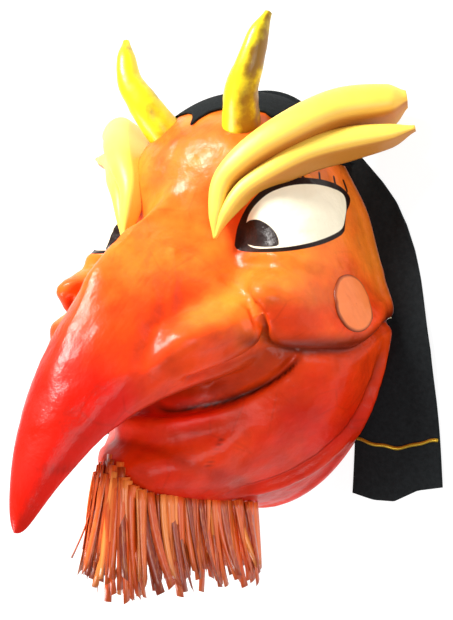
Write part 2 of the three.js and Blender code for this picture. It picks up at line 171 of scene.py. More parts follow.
def nose_ring(station, turns, inset):
    ridge, under, half, widest, hollow, wing = station
    up = np.sin(turns)
    across = np.cos(turns)
    tall = math.hypot(ridge[0] - under[0], ridge[1] - under[1])
    above = (1 - widest) * np.maximum(up, 0)
    below = widest * power(np.minimum(up, 0), UNDERSIDE_FLATNESS)
    middle = widest + above + below
    share = middle + (0.5 - middle) * 2 * inset / tall
    full_wing = 0 if inset > 0 else hill((up - 0.1) / 0.26)
    swell = wing * (full_wing - 0.5 * hill((up - 0.6) / 0.25))
    narrowing = np.where(up >= 0, power(across, hollow), power(across, UNDERSIDE_FLATNESS))
    width = (half - inset) * narrowing + swell * across
    y = under[0] + (ridge[0] - under[0]) * share
    z = under[1] + (ridge[1] - under[1]) * share
    return np.stack([width, y, z], -1)


def normals_of(rings):
    """The outward normal at each point of an array of rings."""
    following = np.concatenate([rings[1:], rings[-1:]])
    previous = np.concatenate([rings[:1], rings[:-1]])
    along = following - previous
    around = np.roll(rings, -1, 1) - np.roll(rings, 1, 1)
    normals = np.cross(along, around)
    normals[-1, :, 2] = 0
    return unit(normals)


def guide_rings(turns, stations, tip, inset):
    """Rings that the surface is drawn close to: the nose from its tip, then the bare face to the rim."""
    height = np.degrees(np.arcsin(np.clip(np.sin(turns), -1, 1)))
    start = np.arcsin(through(NOSE_ROOT, height) ** (BOXINESS / 2))
    bare = []
    for i in range(FACE_CONTROLS + 1):
        run = 1 - (1 - i / FACE_CONTROLS) ** 1.6
        slope = start + (math.pi / 2 - start) * run
        bare.append(face_point(turns, np.sin(slope) ** (2 / BOXINESS)))
    bare = np.array(bare)
    bare -= inset * normals_of(bare)
    nose = [nose_ring(station, turns, inset) for station in stations]
    return np.concatenate([[np.tile(tip, (len(turns), 1))], nose, bare])


def smooth_rings(guides, places):
    """Rings of a cubic B-spline through the guides, at places counted in guides."""
    before = 2 * guides[0] - guides[1]
    after = 2 * guides[-1] - guides[-2]
    padded = np.concatenate([[before], guides, [after]])
    k = np.minimum(np.floor(places).astype(int), len(guides) - 2)
    f = (places - k)[:, None, None]
    weights = [(1 - f) ** 3, 3 * f**3 - 6 * f**2 + 4, 3 * (f + f**2 - f**3) + 1, f**3]
    return sum(weight / 6 * padded[k + n] for n, weight in enumerate(weights))


def places_of(root, nose_rings, face_rings):
    nose = root * np.arange(1, nose_rings + 1) / (nose_rings + 1)
    on_face = root + FACE_CONTROLS * np.arange(face_rings + 1) / face_rings
    return np.concatenate([nose, on_face])


def crowded_turns(count):
    """Turns for one ring, closer together at the eyes and cheeks. The left half mirrors the right one."""
    fine = np.linspace(-math.pi / 2, math.pi / 2, 2001)
    density = 1 + 1.0 * hill((fine - 0.65) / 0.4) + 0.8 * hill((fine + 0.25) / 0.3)
    total = np.concatenate([[0], np.cumsum((density[1:] + density[:-1]) / 2)])
    right = np.interp(np.linspace(0, total[-1], count // 2 + 1), total, fine)
    return np.concatenate([right, math.pi - right[-2:0:-1]])


def wave_noise(points, size, seed, octaves=3):
    """Smooth repeatable noise from about -1 to 1: rotated sine waves that bend each other."""
    rng = np.random.default_rng(seed)
    total = np.zeros(points.shape[:-1])
    scale = 2 * math.pi / size
    weight = 1.0
    for _ in range(octaves):
        bend = np.zeros(points.shape[:-1])
        for _ in range(5):
            way = rng.normal(size=3)
            way *= scale * rng.uniform(0.7, 1.3) / np.linalg.norm(way)
            bend = np.sin(points @ way + rng.uniform(0, 2 * math.pi) + 1.3 * bend)
            total += weight * bend / 5
        scale *= 2
        weight *= 0.55
    return total


def carving(points):
    """Carving that stands proud of the full face, or is cut into it."""
    x, y, z = points[..., 0], points[..., 1], points[..., 2]
    side = np.abs(x)
    over_mouth = y - mouth_line(x)
    lips = hill((x / 56) ** 2)
    groove = -8 * hill(over_mouth / np.where(over_mouth > 0, 6, 3.4)) * ease(106, 92, side)
    upper_lip = 3.2 * hill((over_mouth - 12) / 7) * lips
    lower_lip = 6.4 * hill((over_mouth + 8.5) / 6) * lips
    under_lip = -4.2 * hill((over_mouth + 22) / 8) * lips
    above = y - crease_line(side, z)
    reach = ease(64, 78, side)
    crease = -7 * hill(above / 4.6) * reach
    cheek_edge = 5 * hill((above - 14) / 10) * reach * ease(-12, 30, z)
    eyeball = 4 * hill((side - 86) / 30, (y - 55) / 22)
    over_lid = y - 24 + 0.006 * (side - 80) ** 2
    lid = (2.4 * hill((over_lid - 2) / 3.4) - 2.6 * hill((over_lid + 5) / 3.6)) * hill((side - 84) / 26)
    lid = lid + 4.5 * hill((over_lid + 22) / 8) * hill((side - 96) / 24)
    bridge = (1.6 * hill((y - 59) / 4) - 1.8 * hill((y - 67) / 4)) * hill(x / 24)
    return groove + upper_lip + lower_lip + under_lip + crease + cheek_edge + eyeball + lid + bridge


# The crease round each wing of the nose
WING_CREASE = [
    (93, -9, 122), (96, -16, 119), (94, -23, 112), (85, -33, 102),
    (78, -41, 105), (73, -48, 120), (65, -54, 137), (58, -58, 152),
]

# The edge of the wing inside that crease
WING_EDGE = [
    (80, -12, 124), (84, -20, 118), (83, -30, 116), (77, -38, 126), (70, -45, 139), (64, -49, 154),
]

# Finer forms of the nose, each along a line: (points, half width, height)
NOSE_FORMS = [
    (WING_CREASE, 3.6, -4),
    ([(62, 9, 113), (80, 0, 117), (93, -9, 122)], 5, -1.3),
    (WING_EDGE, 7, 3),
    ([(0, 36, 153), (0, 12, 180)], 18, 5.5),
    ([(60, -33, 161), (84, -23, 122)], 14, 6),
    ([(63, -32, 157), (74, -26, 138)], 8, 3),
    ([(68, 6, 130), (53, -6, 150), (46, -21, 171), (49, -44, 184)], 9, -5.5),
    ([(68, 6, 130), (82, -1, 120), (92, -12, 114)], 6, -3),
    ([(25, 28, 132), (39, 7, 145), (48, -12, 158)], 2.4, 1.4),
    ([(29, 7, 158), (42, -16, 169)], 2.3, 1.2),
    ([(16, 28, 143), (22, 14, 154)], 2.3, -0.8),
]


def distance_to_path(points, path):
    """The distance to a line of points, which both sides of the face have."""
    one_side = np.concatenate([np.abs(points[..., :1]), points[..., 1:]], -1)
    path = np.array(path, float)
    return np.min([distance_to_line(one_side, a, b) for a, b in zip(path, path[1:])], axis=0)


def nose_relief(points):
    return sum(height * hill(distance_to_path(points, path) / half) for path, half, height in NOSE_FORMS)


# The jaw's finer forms: a bead along its edge, which climbs towards the chin, and the boss of the chin
def over_bead(points):
    """How far a place is above the groove inside the bead."""
    side = np.abs(points[..., 0])
    return points[..., 2] - 8 - 74 * np.clip((124 - side) / 80, 0, 1.15) ** 1.6


def bead_reach(points):
    return ease(-40, -58, points[..., 1]) * ease(30, 48, np.abs(points[..., 0]))


def chin_share(points):
    return np.hypot(points[..., 0] / 48, (points[..., 1] + 139) / 27)


CHIN_CRACK = (np.array([55.5, -103.0, 112.0]), np.array([50.0, -125.0, 120.0]))


def jaw_relief(points):
    over = over_bead(points)
    bead = 3.0 * hill((over + 9) / 6) - 2.8 * hill((over - 1) / 4) - 1.4 * hill((over - 14) / 12)
    boss = 2.4 * ease(1.14, 0.92, chin_share(points)) * ease(-104, -114, points[..., 1])
    crack = -1.1 * hill(distance_to_line(points, *CHIN_CRACK) / 1.4)
    return (bead * bead_reach(points) + boss + crack) * ease(195, 175, points[..., 2])


BEAD_HEIGHT = 7.0
BEAD_FADE = 60.0


def step_above_rim(points):
    lower = ease(110, 40, points[..., 1])
    low = ease(BEAD_HEIGHT * 0.5, BEAD_HEIGHT * 1.6, points[..., 2])
    return RIM_BEAD * lower * low * ease(BEAD_FADE, BEAD_HEIGHT, points[..., 2])


def face_surface(turns, nose_rings=NOSE_RINGS, face_rings=FACE_RINGS):
    """Rings of the carved outer surface, with its normals and how far each ring is on the face."""
    places = places_of(ROOT, nose_rings, face_rings)
    rings = smooth_rings(guide_rings(turns, NOSE_STATIONS, NOSE_TIP, 0), places)
    normals = normals_of(rings)
    on_face = ease(ROOT - 0.5, ROOT + 1.5, places)[:, None]
    proud = carving(rings) * on_face - step_above_rim(rings)
    return rings + proud[..., None] * normals, normals, places


def hollow_surface(turns):
    """Rings of the hollow behind the face, a wall's thickness inside it."""
    stations = NOSE_STATIONS[-INNER_STATIONS:]
    root = len(stations) + 1
    ridge, under = stations[0][:2]
    tip = np.array([0, (ridge[0] + under[0]) / 2, (ridge[1] + under[1]) / 2])
    places = places_of(root, INNER_NOSE_RINGS, INNER_FACE_RINGS)
    rings = smooth_rings(guide_rings(turns, stations, tip, SHELL_WALL), places)
    on_face = ease(root - 0.5, root + 1.5, places)[:, None]
    cut = np.minimum(carving(rings) + jaw_relief(rings), 0) * on_face + np.minimum(nose_relief(rings), 0)
    return rings + cut[..., None] * normals_of(rings), tip


# Meshes
def to_row(points):
    return (np.asarray(points, float) + [0, FACE_SHIFT, 0]) * MM


def mesh_object(name, points, faces, materials, material_of=None):
    """A mesh that rides on the root body. Points are in the face's frame, in millimetres."""
    mesh = bpy.data.meshes.new(name)
    mesh.from_pydata(to_row(points).tolist(), [], [tuple(face) for face in faces])
    for material in materials:
        mesh.materials.append(material)
    if material_of is not None:
        mesh.polygons.foreach_set("material_index", np.asarray(material_of, np.int32))
    mesh.polygons.foreach_set("use_smooth", np.full(len(mesh.polygons), True))
    mesh.update()
    made = bpy.data.objects.new(name, mesh)
    bpy.context.scene.collection.objects.link(made)
    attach(made, "root")
    return made


def paint_on(made, name, values):
    """Stores one number a point, for the materials to read."""
    attribute = made.data.attributes.new(name, "FLOAT", "POINT")
    attribute.data.foreach_set("value", np.asarray(values, np.float32).ravel())


def ring_faces(rings, count, first=0):
    """Quads between rings of points, which are numbered ring by ring."""
    i, j = np.meshgrid(np.arange(rings - 1), np.arange(count), indexing="ij")
    k = (j + 1) % count
    corners = [i * count + j, (i + 1) * count + j, (i + 1) * count + k, i * count + k]
    return (np.stack(corners, -1).reshape(-1, 4) + first).tolist()


def fan_faces(ring_start, count, middle, outward=True):
    """Triangles from a middle point to the ring that starts at this number."""
    faces = []
    for j in range(count):
        a, b = ring_start + j, ring_start + (j + 1) % count
        faces.append((middle, a, b) if outward else (middle, b, a))
    return faces


# Materials
class Paint:
    """Builds a material's nodes around one Principled shader."""

    def __init__(self, name, roughness, **sockets):
        self.material = bpy.data.materials.new(name)
        self.material.use_nodes = True
        self.tree = self.material.node_tree
        self.shader = self.tree.nodes["Principled BSDF"]
        self.shader.inputs["Roughness"].default_value = roughness
        for socket, value in sockets.items():
            self.shader.inputs[socket.replace("_", " ")].default_value = value
        self.place = self.node("ShaderNodeTexCoord").outputs["Object"]

    def node(self, kind, **settings):
        made = self.tree.nodes.new(kind)
        for key, value in settings.items():
            setattr(made, key, value)
        return made

    def feed(self, socket, value):
        if isinstance(value, bpy.types.NodeSocket):
            self.tree.links.new(value, socket)
        else:
            socket.default_value = value

    def painted(self, name):
        return self.node("ShaderNodeAttribute", attribute_name=name).outputs["Fac"]

    def noise(self, per_metre, detail=4.0, roughness=0.55, stretch=None):
        made = self.node("ShaderNodeTexNoise")
        place = self.place
        if stretch:
            mapping = self.node("ShaderNodeMapping")
            mapping.inputs["Scale"].default_value = stretch
            self.feed(mapping.inputs["Vector"], place)
            place = mapping.outputs["Vector"]
        self.feed(made.inputs["Vector"], place)
        made.inputs["Scale"].default_value = per_metre
        made.inputs["Detail"].default_value = detail
        made.inputs["Roughness"].default_value = roughness
        return made.outputs["Fac"]

    def voronoi(self, per_metre, feature="DISTANCE_TO_EDGE"):
        made = self.node("ShaderNodeTexVoronoi", feature=feature)
        self.feed(made.inputs["Vector"], self.place)
        made.inputs["Scale"].default_value = per_metre
        return made.outputs[0]

    def count(self, operation, *values):
        made = self.node("ShaderNodeMath", operation=operation)
        for socket, value in zip(made.inputs, values):
            self.feed(socket, value)
        return made.outputs[0]

    def between(self, low, high, value):
        """0 below low, 1 above high and smooth between them. Low may be the higher one."""
        made = self.node("ShaderNodeMapRange", interpolation_type="SMOOTHSTEP")
        flip = low > high
        self.feed(made.inputs["Value"], value)
        made.inputs["From Min"].default_value = min(low, high)
        made.inputs["From Max"].default_value = max(low, high)
        made.inputs["To Min"].default_value = 1.0 if flip else 0.0
        made.inputs["To Max"].default_value = 0.0 if flip else 1.0
        return made.outputs["Result"]

    def mix(self, share, low, high, blend="MIX"):
        made = self.node("ShaderNodeMix", data_type="RGBA", blend_type=blend)
        self.feed(made.inputs["Factor"], share)
        self.feed(made.inputs[6], rgba(low))
        self.feed(made.inputs[7], rgba(high))
        return made.outputs[2]

    def bump(self, height, depth, strength=1.0, over=None):
        made = self.node("ShaderNodeBump")
        made.inputs["Strength"].default_value = strength
        made.inputs["Distance"].default_value = depth
        self.feed(made.inputs["Height"], height)
        if over is not None:
            self.feed(made.inputs["Normal"], over)
        return made.outputs["Normal"]

    def finish(self, color, normal=None, roughness=None):
        self.feed(self.shader.inputs["Base Color"], rgba(color))
        if normal is not None:
            self.feed(self.shader.inputs["Normal"], normal)
            self.feed(self.shader.inputs["Coat Normal"], normal)
        if roughness is not None:
            self.feed(self.shader.inputs["Roughness"], roughness)
        return self.material


def rgba(color):
    """A screen colour such as "ff8040" as the linear colour that a shader takes."""
    if not isinstance(color, str):
        return color
    channels = [int(color[i : i + 2], 16) / 255 for i in (0, 2, 4)]
    linear = [c / 12.92 if c <= 0.04045 else ((c + 0.055) / 1.055) ** 2.4 for c in channels]
    return (*linear, 1.0)


def skin_paint():
    paint = Paint("face_paint", 0.4, Specular_IOR_Level=0.12, Coat_Weight=0.22, Coat_Roughness=0.15)
    # redness carries the paint's own orange to red, together with painted shade in hollows and on the lower
    # face.
    warm = paint.painted("redness")
    cloudy = paint.noise(16, 4)
    warm = paint.count("ADD", warm, paint.count("MULTIPLY", paint.count("SUBTRACT", cloudy, 0.5), 0.8))
    color = paint.mix(paint.between(0, 0.5, warm), "fb8c2a", "f4480e")
    color = paint.mix(paint.between(0.4, 1.0, warm), color, "dc1400")
    mottle = paint.between(0.35, 0.7, paint.noise(38, 5))
    color = paint.mix(paint.count("MULTIPLY", mottle, 0.3), color, "7a1c02")
    seams = paint.between(0.05, 0.0, paint.voronoi(34))
    seams = paint.count("MULTIPLY", seams, paint.between(0.45, 0.6, paint.noise(24, 2)))
    color = paint.mix(paint.count("MULTIPLY", seams, 0.13), color, "5a1002")
    color = paint.mix(paint.painted("lips"), color, "ff1a04")
    # Dark red-brown grime and painted shade in the creases and hollows, and under the nose and lips.
    color = paint.mix(paint.painted("grime_and_shade"), color, "3c0a02")
    for area, tone in (("eye_line", "1e0c0a"), ("eye_white", "fff4d8"), ("pupil", "1e0e0c")):
        inside = paint.between(-EYE_EDGE, EYE_EDGE, paint.painted(area))
        color = paint.mix(inside, color, tone)
    folds = paint.voronoi(38, "SMOOTH_F1")
    normal = paint.bump(folds, 0.005, 0.55)
    normal = paint.bump(paint.noise(85, 6, 0.6), 0.0016, 0.6, normal)
    normal = paint.bump(paint.noise(420, 2), 0.0002, 0.25, normal)
    return paint.finish(color, normal, paint.between(-0.5, 1.6, paint.noise(45, 3)))


def paper_inside():
    paint = Paint("raw_paper", 0.9)
    scraps = paint.voronoi(28, "F1")
    color = paint.mix(paint.noise(60, 4), "c9b48c", "a98d63")
    color = paint.mix(paint.between(0.2, 0.6, scraps), color, "d9c8a4")
    return paint.finish(color, paint.bump(paint.noise(90, 6), 0.001, 0.6))


def brow_paint():
    paint = Paint("brow_paint", 0.45, Specular_IOR_Level=0.35, Coat_Weight=0.12, Coat_Roughness=0.3)
    color = paint.mix(paint.noise(22, 4), "ffe468", "f8c03c")
    # Ochre and brown painted shade on the lobes' undersides and by the groove between them.
    color = paint.mix(paint.painted("shade"), color, "f4a83a")
    color = paint.mix(paint.painted("grime_and_shade"), color, "a04c12")
    normal = paint.bump(paint.noise(70, 5), 0.001, 0.35)
    return paint.finish(color, normal)


def horn_paint():
    paint = Paint("horn_paint", 0.38, Specular_IOR_Level=0.35, Coat_Weight=0.2, Coat_Roughness=0.2)
    color = paint.mix(paint.noise(30, 4), "fae81c", "e0c010")
    # Random dirt, darker at the root, and painted shade on the side away from the light.
    dirt_and_shade = paint.count("ADD", paint.noise(42, 5), paint.count("MULTIPLY", paint.painted("grime_and_shade"), 0.32))
    color = paint.mix(paint.between(0.56, 0.86, dirt_and_shade), color, "8a6006")
    color = paint.mix(paint.between(0.72, 0.8, paint.noise(120, 4)), color, "4a3406")
    normal = paint.bump(paint.noise(90, 5), 0.001, 0.4)
    return paint.finish(color, normal)


def disc_paint():
    paint = Paint("disc_paint", 0.42, Specular_IOR_Level=0.3, Coat_Weight=0.15, Coat_Roughness=0.25)
    color = paint.mix(paint.noise(60, 4), "fa8a48", "f07430")
    # Darker along the disc's rim.
    color = paint.mix(paint.painted("grime_and_shade"), color, "8e3a16")
    return paint.finish(color, paint.bump(paint.noise(120, 5), 0.0005, 0.4))


def felt():
    paint = Paint("black_felt", 1.0, Specular_IOR_Level=0.1)
    color = paint.mix(paint.noise(300, 4), "0f1112", "25292b")
    normal = paint.bump(paint.noise(900, 4, 0.7), 0.0006, 0.7)
    normal = paint.bump(paint.noise(40, 4), 0.002, 0.35, normal)
    return paint.finish(color, normal)


def braid():
    paint = Paint("gold_braid", 0.38, Metallic=0.7)
    return paint.finish(paint.mix(paint.noise(500, 3), "c9a42a", "8a6a12"))


def straw_bast():
    paint = Paint("straw", 0.34, Specular_IOR_Level=0.5, Coat_Weight=0.25, Coat_Roughness=0.2)
    fibre = paint.noise(700, 3, 0.5, (1.0, 0.06, 1.0))
    color = paint.mix(paint.between(0.0, 0.45, paint.painted("tint")), "902a04", "e05410")
    color = paint.mix(paint.between(0.45, 1.0, paint.painted("tint")), color, "ff9a46")
    color = paint.mix(paint.count("MULTIPLY", paint.between(0.45, 0.75, fibre), 0.35), color, "ffa050")
    # Darker towards the tips of the straws.
    color = paint.mix(paint.painted("grime_and_shade"), color, "5a1e08")
    return paint.finish(color, paint.bump(fibre, 0.0003, 0.4))


# Sweeps for horns and eyebrows
def through_knots(knots, shares):
    """Points of a centripetal spline through the knots."""
    knots = np.asarray(knots, float)
    last = len(knots) - 1
    padded = np.concatenate([[2 * knots[0] - knots[1]], knots, [2 * knots[-1] - knots[-2]]])
    points = []
    for share in shares:
        k = min(int(share * last), last - 1)
        f = share * last - k
        p0, p1, p2, p3 = padded[k : k + 4]
        d0, d1, d2 = (math.sqrt(np.linalg.norm(b - a)) for a, b in ((p0, p1), (p1, p2), (p2, p3)))
        t1 = d1 * ((p1 - p0) / d0 - (p2 - p0) / (d0 + d1) + (p2 - p1) / d1)
        t2 = d1 * ((p2 - p1) / d1 - (p3 - p1) / (d1 + d2) + (p3 - p2) / d2)
        points.append(
            p1 + t1 * f + (3 * p2 - 3 * p1 - 2 * t1 - t2) * f**2 + (2 * p1 - 2 * p2 + t1 + t2) * f**3
        )
    return np.array(points)


def through_values(values, shares):
    """The same for a row of evenly spaced numbers."""
    values = np.asarray(values, float)
    last = len(values) - 1
    padded = np.concatenate([values[:1], values, values[-1:]])
    k = np.minimum((np.asarray(shares) * last).astype(int), last - 1)
    f = np.asarray(shares) * last - k
    p0, p1, p2, p3 = (padded[k + n] for n in range(4))
    t1, t2 = (p2 - p0) / 2, (p3 - p1) / 2
    return p1 + t1 * f + (3 * p2 - 3 * p1 - 2 * t1 - t2) * f**2 + (2 * p1 - 2 * p2 + t1 + t2) * f**3


def sweep(knots, halves, steps, section, depth_way):
    """Rings of a swept form. section gives (across, back) pairs for a half width."""
    shares = np.linspace(0, 1, steps)
    centres = through_knots(knots, shares)
    along = unit(np.gradient(centres, axis=0))
    way = np.asarray(depth_way, float)
    back = unit(way - along * (along @ way)[:, None])
    side = np.cross(along, back)
    half = through_values(halves, shares)
    rings = []
    for i in range(steps):
        outline = section(half[i])
        rings.append(centres[i] + outline[:, :1] * side[i] + outline[:, 1:] * back[i])
    return np.array(rings), shares


def closed_rings(name, rings, material, ends):
    steps, count = rings.shape[:2]
    points = np.concatenate([rings.reshape(-1, 3), [ends[0], ends[1]]])
    faces = ring_faces(steps, count)
    faces += fan_faces(0, count, steps * count)
    faces += fan_faces((steps - 1) * count, count, steps * count + 1, False)
    return mesh_object(name, points, faces, [material])


def mirrored(points):
    return np.asarray(points) * [-1, 1, 1]


# The face
def underside(normals, places):
    """How much each place on the nose faces the chin."""
    return ease(0.55, 0.9, -normals[..., 1]) * ease(ROOT + 1, ROOT - 1, places)[:, None]


def skin_marks(points, under):
    """How red each point is, how much dark paint it takes for grime and painted shade, and how much of the
    lips' red.
    """
    x, y, z = points[:, 0], points[:, 1], points[:, 2]
    side = np.abs(x)
    over_mouth = y - mouth_line(x)
    above = y - crease_line(side, z)
    over = over_bead(points)
    front = ease(20, 60, z)
    on_face = ease(150, 120, z)
    # Redder towards the chin and the nose's tip: partly the paint's own orange to red, partly painted shade
    # on the lower face.
    redness = 0.2 + 0.6 * ease(20, -110, y) + 0.35 * ease(165, 235, z)
    # Lighter orange on the top of each nostril wing.
    redness = redness - 0.3 * hill((side - 66) / 14, (y + 12) / 12)
    # Painted shade: redder in the hollows beside the bridge, at the eyes' inner corners.
    redness = redness + 0.2 * hill((side - 58) / 14, (y - 34) / 20)
    # Painted shade: redder on the lower cheeks, which face down.
    redness = redness + 0.28 * hill((side - 112) / 18, (y + 18) / 14)
    redness = redness + 0.15 * hill((side - 40) / 24, (y + 4) / 22)
    at_mouth = ease(106, 92, side) * front * on_face
    over_lips = ease(1, 9, over_mouth) * ease(30, 21, over_mouth)
    # Grime and painted shade: darker in the mouth's gap, above the lips under the nose, in the crease under
    # the cheek, under the lower lip, in the groove inside the jaw's bead, in the chin's crack and round its
    # boss, in the wing's crease, and on the nose's underside, which faces down.
    grime_and_shade = [
        hill(over_mouth / np.where(over_mouth > 0, 4.6, 1.8)) * at_mouth,
        0.42 * over_lips * ease(112, 96, side) * on_face,
        0.85 * ease(-3, 2, above) * ease(19, 6, above) * ease(74, 92, side) * on_face,
        0.35 * hill((over_mouth + 17) / 5) * hill((x / 62) ** 2) * front * on_face,
        (0.5 * hill((over - 1) / 2.6) + 0.25 * hill((over + 18) / 7)) * bead_reach(points),
        hill(distance_to_line(points, *CHIN_CRACK) / 1.0),
        0.3 * hill((chin_share(points) - 1.08) / 0.09) * ease(-100, -112, y),
        0.6 * hill(distance_to_path(points, WING_CREASE) / 3) * ease(5, -15, y),
        0.5 * under,
    ]
    lower_red = hill((over_mouth + 7.5) / 5.5) * hill((x / 50) ** 2)
    upper_red = 0.7 * hill((over_mouth - 7) / 4) * hill((side - 20) / 18)
    lips = np.clip(lower_red + upper_red, 0, 1) * front * on_face
    return {"redness": redness, "grime_and_shade": np.clip(np.max(grime_and_shade, axis=0), 0, 1), "lips": lips}


def make_face():
    turns = crowded_turns(SECTORS)
    outer, normals, places = face_surface(turns)
    dents = 0.55 * wave_noise(outer, 46, 3) + 0.28 * wave_noise(outer, 15, 4)
    relief = dents * ease(262, 190, outer[..., 2])
    relief = relief + nose_relief(outer) + jaw_relief(outer)
    fade = ease(0, 6, outer[..., 2]) * ease(0, 2, places)[:, None]
    outer = outer + (relief * fade)[..., None] * normals
    outer[-1, :, 2] = 0
    inner, inner_tip = hollow_surface(turns)
    inner[-1, :, 2] = 0
    count = len(turns)
    rings = np.concatenate([outer, inner[::-1]])
    points = np.concatenate([rings.reshape(-1, 3), [NOSE_TIP, inner_tip]])
    faces = fan_faces(0, count, len(points) - 2)
    faces += ring_faces(len(rings), count)
    faces += fan_faces((len(rings) - 1) * count, count, len(points) - 1, False)
    outside = count + (len(outer) - 1) * count
    inside = [0 if i < outside else 1 for i in range(len(faces))]
    face = mesh_object("face", points, faces, [skin_paint(), paper_inside()], inside)
    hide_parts("mask_shell")
    under = np.zeros(len(points))
    under[: outer.size // 3] = underside(normals, places).ravel()
    for name, values in skin_marks(points, under).items():
        paint_on(face, name, values)
    for name, values in eye_paint(points).items():
        paint_on(face, name, values)
    return face


# The painted eye, on a chart that faces the way the eye does: u across and v up, in millimetres. Both eyes
# take it from the distance to the middle plane, so they mirror each other, apart from their pupils.
EYE_WAY = math.radians(40)
EYE_OUTLINE = [
    (-21, 29), (-20, 40), (-18, 49), (-13, 60), (-6, 69), (2, 76), (14, 81.5), (27, 83.5), (42, 83.5),
    (55, 81.5), (64, 77), (69, 70), (66, 63), (63.5, 60), (61.5, 51), (60.5, 43), (52, 38), (39, 33),
    (20, 29), (0, 27.5),
]
EYE_WHITE = [
    (-12, 52.5), (-8, 60.5), (0, 68.5), (7, 72.7), (20, 77.3), (37, 79), (50, 77.7), (63.5, 73.5), (64, 63),
    (61.7, 54.5), (59.3, 46), (50, 40.8), (37, 36), (24, 33), (9.5, 31), (-9, 30.5), (-14, 38),
]
PUPILS = {
    "right": [(-16, 33), (-14, 50), (-6, 52.5), (1, 49.3), (7, 43.7), (10, 37), (9.5, 31)],
    "left": [(-17, 30), (-18, 50), (-13, 55), (-6, 54), (-3, 50.5), (-1.5, 45), (-1.2, 38), (-1.2, 30)],
}
LASHES = [((28, 86.5), (31, 81)), ((43, 88.5), (43, 82)), ((55.5, 87), (56, 80)), ((64, 84.5), (66, 76))]
LASH_WIDTH = 1.7
OUT_OF_REACH = 6.0
EYE_EDGE = 0.3  # half the width over which one colour turns into the next


def rounded(outline, times=2):
    """Cuts the corners of a closed outline."""
    points = np.array(outline, float)
    for _ in range(times):
        following = np.roll(points, -1, 0)
        early = 0.75 * points + 0.25 * following
        late = 0.25 * points + 0.75 * following
        points = np.stack([early, late], 1).reshape(-1, 2)
    return points


def depth_inside(places, outline):
    """How far each place is inside a closed outline. It is negative outside."""
    distance = np.full(len(places), OUT_OF_REACH)
    inside = np.zeros(len(places), bool)
    for start, end in zip(outline, np.roll(outline, -1, 0)):
        distance = np.minimum(distance, distance_to_line(places, start, end))
        crosses = (start[1] > places[:, 1]) != (end[1] > places[:, 1])
        rise = np.where(crosses, end[1] - start[1], 1)
        at = start[0] + (places[:, 1] - start[1]) * (end[0] - start[0]) / rise
        inside ^= crosses & (places[:, 0] < at)
    return np.where(inside, distance, -distance)


def eye_paint(points):
    """How far each point is inside the eye's painted areas, in millimetres."""
    across = np.abs(points[:, 0]) * math.cos(EYE_WAY) - points[:, 2] * math.sin(EYE_WAY)
    places = np.stack([across, points[:, 1]], -1)
    near = (np.abs(across - 24) < 56) & (np.abs(points[:, 1] - 58) < 40)
    painted = {}
    for name, outline in (("eye_line", EYE_OUTLINE), ("eye_white", EYE_WHITE)):
        painted[name] = np.full(len(points), -OUT_OF_REACH)
        painted[name][near] = depth_inside(places[near], rounded(outline))
    painted["pupil"] = np.full(len(points), -OUT_OF_REACH)
    for side, outline in PUPILS.items():
        here = near & ((points[:, 0] > 0) == (side == "right"))
        painted["pupil"][here] = depth_inside(places[here], rounded(outline))
    for root, tip in LASHES:
        lash = LASH_WIDTH / 2 - distance_to_line(places[near], np.array(tip, float), np.array(root, float))
        painted["eye_line"][near] = np.maximum(painted["eye_line"][near], lash)
    return painted


# Horns and eyebrows
HORN_PATH = [[32, 113, 60], [39, 126, 70], [50, 149, 84], [61, 167, 88], [67, 187, 86], [72, 202, 81]]
HORN_HALVES = [16, 15, 12.5, 10.2, 7.7, 2.8]
HORN_TIP = 1.3  # how far the tip stands out of the last ring
# Painted shade on the side away from the light, with some dirt; stronger on the right horn.
HORN_SIDE_SHADE = {"right": 0.9, "left": 0.35}  # on the side that faces the viewer's right
BROW_UPPER = [
    [46, 38, 110.5], [45, 56, 108], [47, 79, 103], [61, 97, 94],
    [87, 118, 74], [112, 134, 48], [141, 139, 26], [151, 141, 20],
]
BROW_UPPER_HALF = [0.8, 5, 8, 11, 13.6, 14.6, 12, 5]
BROW_LOWER = [
    [46.5, 38, 110.5], [53, 57, 106], [63, 74, 98], [81, 89, 84],
    [99, 102, 66], [121, 110, 48], [146, 114, 34], [162, 117, 28],
]
BROW_LOWER_HALF = [0.8, 4.2, 6.4, 8, 9.4, 9.6, 6.6, 1.8]
BROW_BACK_WAY = [-0.28, -0.4, -0.87]
BROW_DEPTH = 26
BROW_STOUT = 16


def round_section(sides):
    angles = np.linspace(0, 2 * math.pi, sides, endpoint=False)
    return lambda half: half * np.stack([np.cos(angles), np.sin(angles)], -1)


BROW_ARC = 33
BROW_WALL = 8


def brow_section(half):
    """A rounded front with a tighter lower edge, and flat walls behind it."""
    angles = math.pi + np.linspace(0, math.pi, BROW_ARC)
    front = np.stack([half * np.cos(angles), 0.85 * half * np.sin(angles)], -1)
    front[:, 1] *= 1 + 0.3 * np.where(front[:, 0] < 0, np.abs(front[:, 0] / half) ** 2, 0)
    deep = BROW_DEPTH * min(1, half / BROW_STOUT)
    runs = np.linspace(0, 1, BROW_WALL + 1)[1:]
    right = np.stack([half * (1 - 0.1 * runs), deep * runs], -1)
    left = np.stack([-half * (1 - 0.1 * runs[::-1]), deep * runs[::-1]], -1)
    return np.concatenate([front, right, left])


